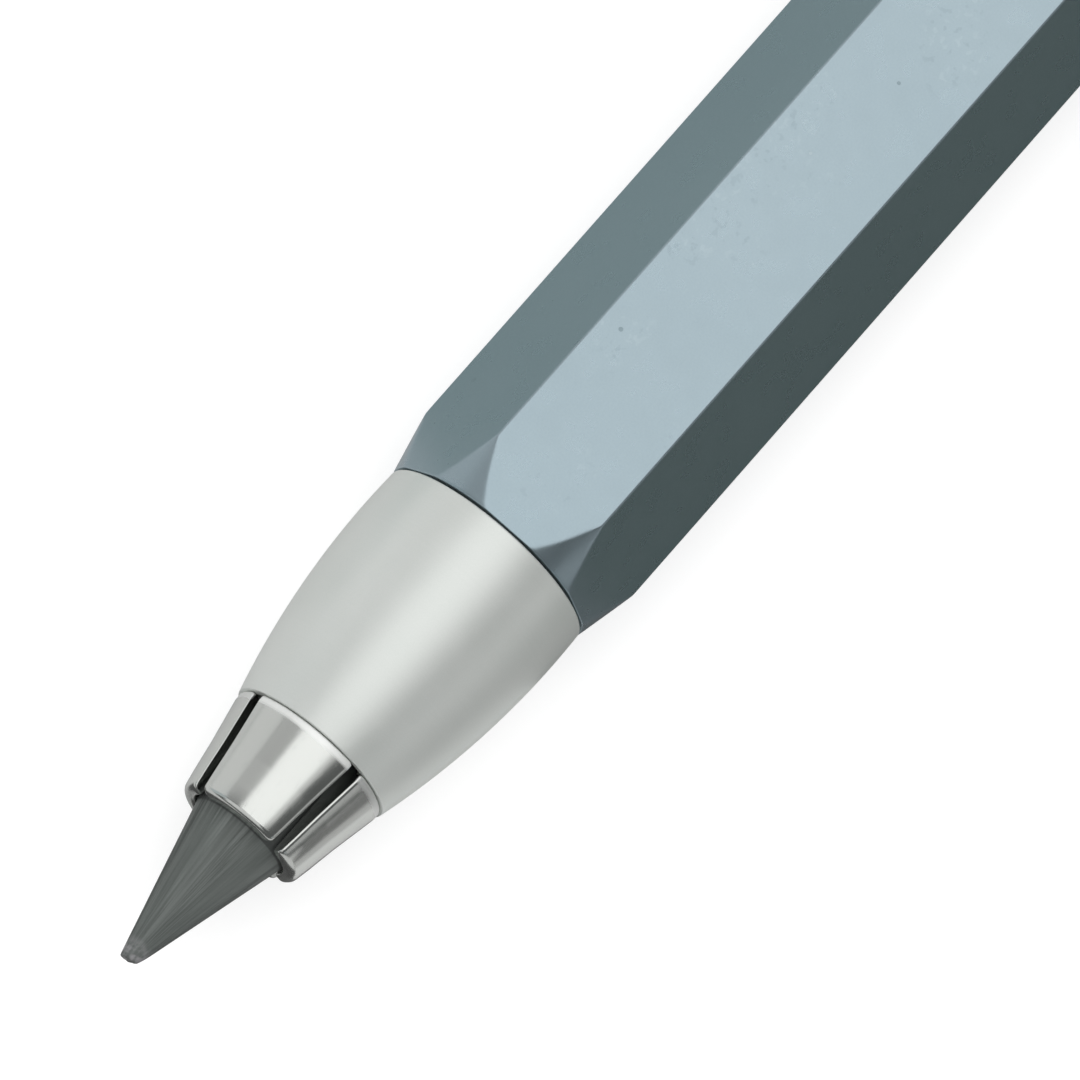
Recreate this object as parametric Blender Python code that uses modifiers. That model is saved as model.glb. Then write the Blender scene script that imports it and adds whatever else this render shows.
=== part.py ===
"""Clutch lead holder for 5.6 mm graphite leads, modelled closed and lying on its side.

The holder's axis is parallel to X, with the writing tip towards -X and the push button towards +X. Its
hexagonal barrel lies on one flat, and the clip is on top, towards +Z. Lengths are in millimetres until
they meet Blender, which works in metres. Stations along the axis are counted from the front end of the
barrel, negative towards the tip.

Pressing the button slides the lead tube forward against the spring. The four collet jaws then leave
their seat in the nose cone and spread, which frees the lead.
"""

import math

import bmesh
import bpy
from mathutils import Matrix, Vector

MM = 0.001
SIDES = 40  # facets round a turned piece: a multiple of 4, so that one corner points straight down
SMALL_SIDES = 16  # the same for a screw
RUNNING_GAP = 0.05  # radial clearance of threads, guides and press fits
FACE_GAP = 0.1  # clearance between faces that meet end to end

# Lead
LEAD_RADIUS = 2.8
LEAD_LENGTH = 80.0
LEAD_POINT_LENGTH = 8.65  # in front of the jaws
LEAD_POINT_START = 0.45  # how far inside the jaws the sharpened part begins
LEAD_TIP_RADIUS = 0.52
LEAD_TIP_ROUNDING = 0.16

# Barrel
ACROSS_FLATS = 12.0
CORNER_RADIUS = ACROSS_FLATS / math.sqrt(3)
CORNER_ROUNDING = 0.08
BARREL_LENGTH = 84.0
BARREL_BORE_RADIUS = 4.6
THREAD_BORE_RADIUS = 5.0
FRONT_THREAD_DEPTH = 8.0
REAR_THREAD_DEPTH = 7.0
FRONT_END_RADIUS = 6.17
FRONT_CHAMFER_LENGTH = 3.2
REAR_END_RADIUS = 6.2
REAR_CHAMFER_LENGTH = 3.0

# Nose cone
NOSE_FRONT = -14.0
NOSE_SHOULDER = -0.25
NOSE_BELLY = -2.45
NOSE_BELLY_RADIUS = 6.2
NOSE_LIP_RADIUS = 4.69
NOSE_LIP_ROUNDING = 0.12
NOSE_SPIGOT_END = 7.0
NOSE_BORE_RADIUS = 4.0
MOUTH_RADIUS = 4.26
SEAT_THROAT_RADIUS = 3.78
SEAT_THROAT = -11.9

# Collet
JAW_COUNT = 4
JAW_FRONT = -19.65
JAW_ROOT = 3.9
JAW_BORE_RADIUS = LEAD_RADIUS + 0.06
JAW_STEM_RADIUS = 3.55
JAW_STEM_BORE_RADIUS = 3.05
JAW_HINGE = 3.6
JAW_HINGE_RADIUS = (JAW_STEM_RADIUS + JAW_STEM_BORE_RADIUS) / 2
JAW_BORE_END = -14.45
SHOULDER_REAR = -14.1
SHOULDER_RADIUS = 4.52
SHOULDER_ROUNDING = 0.16
SLIT_WIDTH = 0.74
MIDDLE_JAW_TURN = math.radians(14.2)  # of the jaw nearest the top, from +Z towards +Y
SLEEVE_RADIUS = 3.8
SLEEVE_SHOULDER = 8.0
SHANK_RADIUS = 3.3
SHANK_END = 13.5

# Lead tube
TUBE_FRONT = SLEEVE_SHOULDER + FACE_GAP
TUBE_REAR = 86.5
TUBE_RADIUS = 3.8
TUBE_BORE_RADIUS = 3.05
CIRCLIP_GROOVE = (33.25, 33.75)
CIRCLIP_GROOVE_RADIUS = 3.5

# Spring and what it bears on
WIRE_DIAMETER = 0.6
SPRING_RADIUS = 4.2
SPRING_FRONT = 7.65
SPRING_REAR = 31.0
SPRING_TURNS = 9
SPRING_CLOSED_TURNS = 1.25
SPRING_POINTS_PER_TURN = 14
BEARING_RADIUS = 4.5
BEARING_BORE_RADIUS = SLEEVE_RADIUS + RUNNING_GAP
WASHER = (7.1, 7.5)
COLLAR = (31.15, 33.15)
CIRCLIP = (33.3, 33.7)
CIRCLIP_RADII = (3.55, 4.4)
CIRCLIP_OPENING = 3.2

# Rear collar and clip
CLIP_PLATE = (BARREL_LENGTH + 0.05, BARREL_LENGTH + 0.65)
CLIP_RING_RADIUS = 5.9
COLLAR_SPIGOT_FRONT = 77.4
COLLAR_FLANGE_FRONT = CLIP_PLATE[1] + 0.05
COLLAR_FLANGE_REAR = 87.5
COLLAR_FLANGE_RADIUS = 5.75
COLLAR_BORE_RADIUS = 4.4
CLIP_WIDTH_AT_ROOT = 4.6
CLIP_WIDTH_AT_TIP = 3.4
CLIP_THICKNESS = CLIP_PLATE[1] - CLIP_PLATE[0]
CLIP_PLATE_TOP = 6.85
CLIP_HINGE_HEIGHT = 6.93
CLIP_ARM_FOOT = 7.0
CLIP_ARM_TOP = 9.0
CLIP_BEND_RADIUS = 0.9
CLIP_TIP = 45.0

# Push button and the lead sharpener in it
BUTTON_FRONT = 80.0
NECK_RADIUS = 4.3
BUTTON_BORE_RADIUS = TUBE_RADIUS + RUNNING_GAP
GRIP_FRONT = 91.7
GRIP_REAR = 99.7
GRIP_RADIUS = 5.0
GRIP_ROUNDING = 0.4
CAP_SEAT = 98.8
CAP_SEAT_RADIUS = 4.3
CAP_REAR = 100.4
SHARPENER_FRONT = TUBE_REAR + FACE_GAP
SHARPENER_REAR = 98.6
SHARPENER_RADIUS = BUTTON_BORE_RADIUS - RUNNING_GAP
CONE_MOUTH_RADIUS = 2.95
CONE_END_RADIUS = 0.6
CONE_ANGLE = math.atan2(
    LEAD_RADIUS - LEAD_TIP_RADIUS, LEAD_POINT_LENGTH + LEAD_POINT_START - LEAD_TIP_ROUNDING
)
BLADE_SIZE = (7.2, 2.4, 0.35)
BLADE_START = 1.2
BLADE_SEAT_GAP = 0.04
BLADE_CUT_DEPTH = 0.15
POCKET_SIDE = -0.7
SCREW_PLACE = (7.0, 1.6)
SCREW_RADIUS = 0.45
SCREW_DEPTH = 0.9
SCREW_HEAD_RADIUS = 0.8
SCREW_HEAD_HEIGHT = 0.4

# Where the axis lies: the box of the whole holder is centred on X = 0 and stands on Z = 0.
LEAD_TIP = JAW_FRONT - LEAD_POINT_LENGTH
AXIS_HEIGHT = NOSE_BELLY_RADIUS
MIDDLE = (LEAD_TIP + CAP_REAR) / 2


def clear_scene():
    for obj in list(bpy.data.objects):
        bpy.data.objects.remove(obj, do_unlink=True)


def new_collection(name):
    collection = bpy.data.collections.new(name)
    bpy.context.scene.collection.children.link(collection)
    return collection


def new_material(name, colour, roughness, metallic):
    material = bpy.data.materials.new(name)
    material.use_nodes = True
    shader = material.node_tree.nodes["Principled BSDF"]
    shader.inputs["Base Color"].default_value = (*colour, 1.0)
    shader.inputs["Roughness"].default_value = roughness
    shader.inputs["Metallic"].default_value = metallic
    return material


def new_object(name, data, collection, material=None):
    obj = bpy.data.objects.new(name, data)
    collection.objects.link(obj)
    if material is not None:
        data.materials.append(material)
    return obj


def as_cutter(obj):
    """Marks obj as a tool that shapes a piece and isn't one itself."""
    obj.hide_render = True
    obj.display_type = "WIRE"
    return obj


def turned(name, outline, collection, material=None, closed=True):
    """A piece turned about the axis from (station, radius) points in millimetres.

    The points run along the outer side from the rear to the front, then back along the bore. A solid
    piece has no bore: its outline starts and ends on the axis and isn't closed.
    """
    mesh = bpy.data.meshes.new(name)
    points = [(radius * MM, 0.0, station * MM) for station, radius in outline]
    edges = [(i, i + 1) for i in range(len(points) - 1)]
    if closed:
        edges.append((len(points) - 1, 0))
    mesh.from_pydata(points, edges, [])
    obj = new_object(name, mesh, collection, material)
    obj.rotation_euler = (0.0, math.pi / 2, 0.0)  # the turning axis, local Z, becomes X
    screw = obj.modifiers.new("Turn", "SCREW")
    screw.axis = "Z"
    screw.steps = screw.render_steps = SIDES
    screw.use_merge_vertices = True
    screw.merge_threshold = 0.00001
    return obj


def upright_turned(name, outline, collection, material=None):
    """A small solid piece turned about its own Z, from (height, radius) points, top to bottom."""
    obj = turned(name, outline, collection, material, closed=False)
    obj.rotation_euler = (0.0, 0.0, 0.0)
    obj.modifiers["Turn"].steps = obj.modifiers["Turn"].render_steps = SMALL_SIDES
    return obj


def cut(obj, cutter, operation="DIFFERENCE"):
    modifier = obj.modifiers.new(operation.title(), "BOOLEAN")
    modifier.operation = operation
    modifier.object = cutter
    return obj


def box(name, low, high, collection):
    """A box from its lowest to its highest corner, in millimetres about the object's own origin."""
    mesh = bpy.data.meshes.new(name)
    shape = bmesh.new()
    bmesh.ops.create_cube(shape, size=1.0)
    size = [(b - a) * MM for a, b in zip(low, high)]
    centre = [(a + b) / 2 * MM for a, b in zip(low, high)]
    bmesh.ops.scale(shape, vec=size, verts=shape.verts)
    bmesh.ops.translate(shape, vec=centre, verts=shape.verts)
    shape.to_mesh(mesh)
    shape.free()
    return new_object(name, mesh, collection)


def plate(name, outline, thickness, collection, material=None):
    """A flat outline in millimetres, extruded to the same depth on both sides of its own XY plane."""
    curve = bpy.data.curves.new(name, "CURVE")
    curve.dimensions = "2D"
    curve.fill_mode = "BOTH"
    curve.extrude = thickness / 2 * MM
    spline = curve.splines.new("POLY")
    spline.points.add(len(outline) - 1)
    for point, (x, y) in zip(spline.points, outline):
        point.co = (x * MM, y * MM, 0.0, 1.0)
    spline.use_cyclic_u = True
    return new_object(name, curve, collection, material)


def baked_mesh(obj):
    """The object's evaluated shape as a closed mesh in its own space."""
    graph = bpy.context.evaluated_depsgraph_get()
    mesh = bpy.data.meshes.new_from_object(obj.evaluated_get(graph))
    shape = bmesh.new()
    shape.from_mesh(mesh)
    bmesh.ops.remove_doubles(shape, verts=shape.verts, dist=0.000001)
    shape.to_mesh(mesh)
    shape.free()
    return mesh


def curve_to_mesh(obj):
    """Replaces a curve object by a mesh object of the same name and place."""
    bpy.context.view_layer.update()
    name, collection, matrix = obj.name, obj.users_collection[0], obj.matrix_world.copy()
    mesh = baked_mesh(obj)
    bpy.data.objects.remove(obj, do_unlink=True)
    made = bpy.data.objects.new(name, mesh)
    collection.objects.link(made)
    made.matrix_world = matrix
    return made


def rounded_rim(front, rear, radius, rounding, steps=3):
    """Outer side of a cylinder with both edges rounded, from the rear to the front."""
    angles = [math.pi / 2 * i / steps for i in range(steps + 1)]
    at_rear = [
        (rear - rounding + rounding * math.cos(a), radius - rounding + rounding * math.sin(a))
        for a in angles
    ]
    at_front = [
        (front + rounding - rounding * math.sin(a), radius - rounding + rounding * math.cos(a))
        for a in angles
    ]
    return at_rear + at_front


def arc_points(centre, radius, start, end, steps):
    """Points on an arc, with its angles in radians."""
    angles = [start + (end - start) * i / steps for i in range(steps + 1)]
    return [(centre[0] + radius * math.cos(a), centre[1] + radius * math.sin(a)) for a in angles]


def nose_radius(station):
    """The nose cone's outer side is one long arc, widest at its belly."""
    rise = (NOSE_BELLY_RADIUS - NOSE_LIP_RADIUS) / (NOSE_BELLY - NOSE_FRONT) ** 2
    return NOSE_BELLY_RADIUS - rise * (station - NOSE_BELLY) ** 2


def make_barrel(parts, cutters, material):
    mesh = bpy.data.meshes.new("barrel")
    shape = bmesh.new()
    bmesh.ops.create_cone(
        shape,
        cap_ends=True,
        segments=6,
        radius1=CORNER_RADIUS * MM,
        radius2=CORNER_RADIUS * MM,
        depth=BARREL_LENGTH * MM,
    )
    long_edges = [e for e in shape.edges if abs(e.verts[0].co.z - e.verts[1].co.z) > MM]
    bmesh.ops.bevel(
        shape, geom=long_edges, offset=CORNER_ROUNDING * MM, segments=2, profile=0.5, affect="EDGES"
    )
    bmesh.ops.transform(shape, matrix=Matrix.Rotation(math.pi / 2, 4, "Y"), verts=shape.verts)
    bmesh.ops.translate(shape, vec=(BARREL_LENGTH / 2 * MM, 0.0, 0.0), verts=shape.verts)
    shape.to_mesh(mesh)
    shape.free()
    barrel = new_object("barrel", mesh, parts, material)

    over = 1.0
    slope = (CORNER_RADIUS - FRONT_END_RADIUS) / FRONT_CHAMFER_LENGTH
    rear_slope = (CORNER_RADIUS - REAR_END_RADIUS) / REAR_CHAMFER_LENGTH
    turned_ends = turned(
        "barrel_ends",
        [
            (BARREL_LENGTH + over, 0.0),
            (BARREL_LENGTH + over, REAR_END_RADIUS - over * rear_slope),
            (BARREL_LENGTH - REAR_CHAMFER_LENGTH - over, CORNER_RADIUS + over * rear_slope),
            (FRONT_CHAMFER_LENGTH + over, CORNER_RADIUS + over * slope),
            (-over, FRONT_END_RADIUS - over * slope),
            (-over, 0.0),
        ],
        cutters,
        closed=False,
    )
    bore = turned(
        "barrel_bore",
        [
            (BARREL_LENGTH + over, 0.0),
            (BARREL_LENGTH + over, THREAD_BORE_RADIUS),
            (BARREL_LENGTH - REAR_THREAD_DEPTH, THREAD_BORE_RADIUS),
            (BARREL_LENGTH - REAR_THREAD_DEPTH, BARREL_BORE_RADIUS),
            (FRONT_THREAD_DEPTH, BARREL_BORE_RADIUS),
            (FRONT_THREAD_DEPTH, THREAD_BORE_RADIUS),
            (-over, THREAD_BORE_RADIUS),
            (-over, 0.0),
        ],
        cutters,
        closed=False,
    )
    cut(barrel, as_cutter(turned_ends), "INTERSECT")
    cut(barrel, as_cutter(bore))
    return [barrel]


def make_nose_cone(parts, material):
    steps = 8
    lip = NOSE_FRONT + NOSE_LIP_ROUNDING
    stations = [NOSE_SHOULDER, *[NOSE_BELLY + (lip - NOSE_BELLY) * i / steps for i in range(steps + 1)]]
    spigot_radius = THREAD_BORE_RADIUS - RUNNING_GAP
    outline = [
        (NOSE_SPIGOT_END, NOSE_BORE_RADIUS),
        (NOSE_SPIGOT_END, spigot_radius),
        (NOSE_SHOULDER, spigot_radius),
        *[(x, nose_radius(x)) for x in stations],
        (NOSE_FRONT, NOSE_LIP_RADIUS - NOSE_LIP_ROUNDING),
        (NOSE_FRONT, MOUTH_RADIUS),
        (SEAT_THROAT, SEAT_THROAT_RADIUS),
        (SEAT_THROAT + 0.4, NOSE_BORE_RADIUS),
    ]
    return [turned("nose_cone", outline, parts, material)]


def jaw_outline():
    """Half section of the collet from the root of its jaws to their front, then back along the bore."""
    seat_slope = (MOUTH_RADIUS - SEAT_THROAT_RADIUS) / (SEAT_THROAT - NOSE_FRONT)
    seat_rear = SEAT_THROAT + 0.45
    seat_front_radius = JAW_STEM_RADIUS + (seat_rear - SHOULDER_REAR) * seat_slope
    return [
        (JAW_ROOT, JAW_STEM_RADIUS),
        (seat_rear, JAW_STEM_RADIUS),
        (SHOULDER_REAR, seat_front_radius),
        (SHOULDER_REAR, SHOULDER_RADIUS - SHOULDER_ROUNDING),
        (SHOULDER_REAR - SHOULDER_ROUNDING, SHOULDER_RADIUS),
        (JAW_FRONT + 2.7, 4.06),
        (JAW_FRONT + 1.15, 3.8),
        (JAW_FRONT + 0.36, 3.58),
        (JAW_FRONT + 0.1, 3.4),
        (JAW_FRONT, 3.1),
        (JAW_FRONT, JAW_BORE_RADIUS + 0.12),
        (JAW_FRONT + 0.15, JAW_BORE_RADIUS),
        (JAW_BORE_END, JAW_BORE_RADIUS),
        (SHOULDER_REAR + 0.3, JAW_STEM_BORE_RADIUS),
        (JAW_ROOT, JAW_STEM_BORE_RADIUS),
    ]


def make_jaws(parts, cutters, material):
    """Four equal jaws, parted by slits with parallel walls. Each one's origin is on its hinge."""
    collet = as_cutter(turned("collet_blank", jaw_outline(), cutters))
    collet.rotation_euler = (0.0, math.pi / 2, 0.0)
    reach = 2 * SHOULDER_RADIUS
    half_slit = SLIT_WIDTH / 2
    low = (half_slit, half_slit, JAW_FRONT - 1)
    quarter = as_cutter(box("jaw_quarter", low, (reach, reach, JAW_ROOT + 1), cutters))
    quarter.rotation_euler = collet.rotation_euler
    cut(collet, quarter, "INTERSECT")
    bpy.context.view_layer.update()
    mesh = baked_mesh(collet)
    mesh.name = "collet_jaw"
    mesh.materials.append(material)
    # The quarter lies between local +X and +Y. It is turned to straddle +Z of the holder.
    diagonal = math.radians(45)
    to_top = Matrix.Rotation(math.pi / 2, 4, "Y") @ Matrix.Rotation(math.pi - diagonal, 4, "Z")
    mesh.transform(to_top)
    mesh.transform(Matrix.Translation((-JAW_HINGE * MM, 0.0, -JAW_HINGE_RADIUS * MM)))
    mesh.shade_smooth()
    mesh.set_sharp_from_angle(angle=math.radians(30))
    jaws = []
    for number in range(JAW_COUNT):
        turn = MIDDLE_JAW_TURN + number * 2 * math.pi / JAW_COUNT
        jaw = bpy.data.objects.new(f"collet_jaw_{number + 1}", mesh)
        parts.objects.link(jaw)
        outward = Vector((0.0, math.sin(turn), math.cos(turn)))
        jaw.location = Vector((JAW_HINGE, 0.0, 0.0)) * MM + outward * JAW_HINGE_RADIUS * MM
        jaw.rotation_euler = (-turn, 0.0, 0.0)
        jaws.append(jaw)
    return jaws


def make_collet_sleeve(parts, material):
    outline = [
        (SHANK_END, SHANK_RADIUS),
        (SLEEVE_SHOULDER, SHANK_RADIUS),
        (SLEEVE_SHOULDER, SLEEVE_RADIUS),
        (JAW_ROOT + FACE_GAP, SLEEVE_RADIUS),
        (JAW_ROOT + FACE_GAP, TUBE_BORE_RADIUS),
        (SHANK_END, TUBE_BORE_RADIUS),
    ]
    return [turned("collet_sleeve", outline, parts, material)]


def make_lead_tube(parts, material):
    counterbore = SHANK_RADIUS + RUNNING_GAP
    outline = [
        (TUBE_REAR, TUBE_RADIUS - 0.3),
        (TUBE_REAR - 0.3, TUBE_RADIUS),
        (CIRCLIP_GROOVE[1], TUBE_RADIUS),
        (CIRCLIP_GROOVE[1], CIRCLIP_GROOVE_RADIUS),
        (CIRCLIP_GROOVE[0], CIRCLIP_GROOVE_RADIUS),
        (CIRCLIP_GROOVE[0], TUBE_RADIUS),
        (TUBE_FRONT, TUBE_RADIUS),
        (TUBE_FRONT, counterbore),
        (SHANK_END + FACE_GAP, counterbore),
        (SHANK_END + FACE_GAP, TUBE_BORE_RADIUS),
        (TUBE_REAR, TUBE_BORE_RADIUS),
    ]
    return [turned("lead_tube", outline, parts, material)]


def make_lead(parts, material):
    rear = LEAD_TIP + LEAD_LENGTH
    outline = [
        (rear, 0.0),
        (rear, LEAD_RADIUS - 0.2),
        (rear - 0.2, LEAD_RADIUS),
        (JAW_FRONT + LEAD_POINT_START, LEAD_RADIUS),
        (LEAD_TIP + LEAD_TIP_ROUNDING, LEAD_TIP_RADIUS),
        (LEAD_TIP, LEAD_TIP_RADIUS - LEAD_TIP_ROUNDING),
        (LEAD_TIP, 0.0),
    ]
    return [turned("lead", outline, parts, material, closed=False)]


def spring_point(turns):
    """A point on the wire's centreline. The first and last turns are closed, with the wire side by side."""
    closed_rise = WIRE_DIAMETER * 1.04
    free_turns = SPRING_TURNS - 2 * SPRING_CLOSED_TURNS
    length = SPRING_REAR - SPRING_FRONT - WIRE_DIAMETER
    free_rise = (length - 2 * SPRING_CLOSED_TURNS * closed_rise) / free_turns
    in_front = min(turns, SPRING_CLOSED_TURNS)
    in_middle = min(max(turns - SPRING_CLOSED_TURNS, 0.0), free_turns)
    behind = max(turns - SPRING_CLOSED_TURNS - free_turns, 0.0)
    along = (in_front + behind) * closed_rise + in_middle * free_rise
    angle = 2 * math.pi * turns
    return (
        (SPRING_FRONT + WIRE_DIAMETER / 2 + along) * MM,
        SPRING_RADIUS * MM * math.cos(angle),
        SPRING_RADIUS * MM * math.sin(angle),
    )


def make_spring(parts, material):
    curve = bpy.data.curves.new("spring", "CURVE")
    curve.dimensions = "3D"
    curve.bevel_depth = WIRE_DIAMETER / 2 * MM
    curve.bevel_resolution = 2
    curve.use_fill_caps = True
    count = SPRING_TURNS * SPRING_POINTS_PER_TURN + 1
    spline = curve.splines.new("POLY")
    spline.points.add(count - 1)
    for i, point in enumerate(spline.points):
        point.co = (*spring_point(i / SPRING_POINTS_PER_TURN), 1.0)
    return [new_object("spring", curve, parts, material)]


def make_spring_bearings(parts, cutters, steel, brass):
    """The washer on the nose cone's spigot, the collar on the lead tube, and the circlip behind it."""
    washer, collar = (
        turned(
            name,
            [
                (rear, BEARING_BORE_RADIUS),
                (rear, BEARING_RADIUS),
                (front, BEARING_RADIUS),
                (front, BEARING_BORE_RADIUS),
            ],
            parts,
            material,
        )
        for name, (front, rear), material in (
            ("spring_washer", WASHER, steel),
            ("spring_collar", COLLAR, brass),
        )
    )
    inner, outer = CIRCLIP_RADII
    front, rear = CIRCLIP
    ring = [(rear, inner), (rear, outer), (front, outer), (front, inner)]
    circlip = turned("collar_circlip", ring, parts, steel)
    half = CIRCLIP_OPENING / 2
    opening = box("circlip_opening", (front - 1, -half, -2 * outer), (rear + 1, half, 0), cutters)
    cut(circlip, as_cutter(opening))
    return [washer, collar, circlip]


def make_end_collar(parts, material):
    spigot_radius = THREAD_BORE_RADIUS - RUNNING_GAP
    flange = rounded_rim(COLLAR_FLANGE_FRONT, COLLAR_FLANGE_REAR, COLLAR_FLANGE_RADIUS, 0.35)
    outline = [
        (COLLAR_FLANGE_REAR, COLLAR_BORE_RADIUS),
        *flange,
        (COLLAR_FLANGE_FRONT, spigot_radius),
        (COLLAR_SPIGOT_FRONT, spigot_radius),
        (COLLAR_SPIGOT_FRONT, COLLAR_BORE_RADIUS),
    ]
    return [turned("end_collar", outline, parts, material)]


def make_clip_ring(parts, cutters, material):
    """The clip's flat ring, clamped between barrel and collar, with a tongue that stands up from it."""
    front, rear = CLIP_PLATE
    outline = [(rear, 0.0), (rear, CLIP_RING_RADIUS), (front, CLIP_RING_RADIUS), (front, 0.0)]
    ring = turned("clip_ring", outline, parts, material, closed=False)
    half = CLIP_WIDTH_AT_ROOT / 2
    tongue = box("clip_tongue", (front, -half, 3.0), (rear, half, CLIP_PLATE_TOP), cutters)
    hole_radius = THREAD_BORE_RADIUS
    hole = turned(
        "clip_hole",
        [(rear + 1, 0.0), (rear + 1, hole_radius), (front - 1, hole_radius), (front - 1, 0.0)],
        cutters,
        closed=False,
    )
    cut(ring, as_cutter(tongue), "UNION")
    cut(ring, as_cutter(hole))
    return [ring]


def clip_centreline():
    """The arm seen from the side, from its foot over the bend and down to the turned-up tip."""
    plate_middle = sum(CLIP_PLATE) / 2
    bend_centre = (plate_middle - CLIP_BEND_RADIUS, CLIP_ARM_TOP - CLIP_BEND_RADIUS)
    lean = math.radians(3.9)  # the arm slopes down to the barrel
    bend = arc_points(bend_centre, CLIP_BEND_RADIUS, 0.0, math.pi / 2 + lean, 6)
    contact_x = CLIP_TIP + 3.4
    contact_height = ACROSS_FLATS / 2 + CLIP_THICKNESS / 2 + 0.12
    shoe_radius = 4.6
    shoe_centre = (contact_x, contact_height + shoe_radius)
    shoe_start, shoe_end = -math.pi / 2 + math.radians(22), -math.pi / 2 - math.radians(38)
    shoe = arc_points(shoe_centre, shoe_radius, shoe_start, shoe_end, 8)
    return [(plate_middle, CLIP_ARM_FOOT), *bend, *shoe]


def offset_line(points, distance):
    """The same line, moved sideways by distance at each of its points."""
    moved = []
    for i, point in enumerate(points):
        before, after = points[max(i - 1, 0)], points[min(i + 1, len(points) - 1)]
        dx, dy = after[0] - before[0], after[1] - before[1]
        length = math.hypot(dx, dy)
        moved.append((point[0] - dy / length * distance, point[1] + dx / length * distance))
    return moved


def make_clip_arm(parts, cutters, material):
    line = clip_centreline()
    half = CLIP_THICKNESS / 2
    outline = offset_line(line, half) + offset_line(line, -half)[::-1]
    side = plate("clip_arm", outline, 2 * CLIP_WIDTH_AT_ROOT, parts)
    side.rotation_euler = (math.pi / 2, 0.0, 0.0)  # the outline's plane becomes XZ
    arm = curve_to_mesh(side)
    arm.data.transform(arm.matrix_world)
    arm.matrix_world = Matrix.Identity(4)
    arm.data.materials.append(material)

    tip_half = CLIP_WIDTH_AT_TIP / 2
    tip = min(x for x, _ in outline)
    tip_round = arc_points((tip + tip_half, 0.0), tip_half, math.pi / 2, 3 * math.pi / 2, 10)
    root, root_half = CLIP_PLATE[1] + 1, CLIP_WIDTH_AT_ROOT / 2
    from_above = plate(
        "clip_outline",
        [(root, root_half), *tip_round, (root, -root_half)],
        4 * CLIP_ARM_TOP,
        cutters,
    )
    cut(arm, as_cutter(curve_to_mesh(from_above)), "INTERSECT")
    hinge = Vector((sum(CLIP_PLATE) / 2, 0.0, CLIP_HINGE_HEIGHT)) * MM
    return [with_origin_at(arm, hinge)]


def with_origin_at(obj, point):
    """Bakes obj, whose mesh is about the world's origin, and moves its origin to point."""
    bpy.context.view_layer.update()
    mesh = baked_mesh(obj)
    for modifier in list(obj.modifiers):
        obj.modifiers.remove(modifier)
    mesh.transform(Matrix.Translation(-point))
    obj.data = mesh
    obj.location = point
    return obj


def make_push_button(parts, material):
    grip = rounded_rim(GRIP_FRONT, GRIP_REAR, GRIP_RADIUS, GRIP_ROUNDING)
    outline = [
        (GRIP_REAR, CAP_SEAT_RADIUS),
        *grip,
        (GRIP_FRONT, NECK_RADIUS),
        (BUTTON_FRONT + 0.2, NECK_RADIUS),
        (BUTTON_FRONT, NECK_RADIUS - 0.2),
        (BUTTON_FRONT, BUTTON_BORE_RADIUS),
        (CAP_SEAT - 0.1, BUTTON_BORE_RADIUS),
        (CAP_SEAT - 0.1, CAP_SEAT_RADIUS),
    ]
    return [turned("push_button", outline, parts, material)]


def make_button_cap(parts, material):
    radius = CAP_SEAT_RADIUS - RUNNING_GAP
    dome_edge = GRIP_REAR + 0.1
    steps = 4
    dome = [
        (
            dome_edge + (CAP_REAR - dome_edge) * math.cos(math.pi / 2 * i / steps),
            radius * math.sin(math.pi / 2 * i / steps),
        )
        for i in range(steps + 1)
    ]
    outline = [*dome, (CAP_SEAT, radius), (CAP_SEAT, 0.0)]
    return [turned("button_cap", outline, parts, material, closed=False)]


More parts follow.
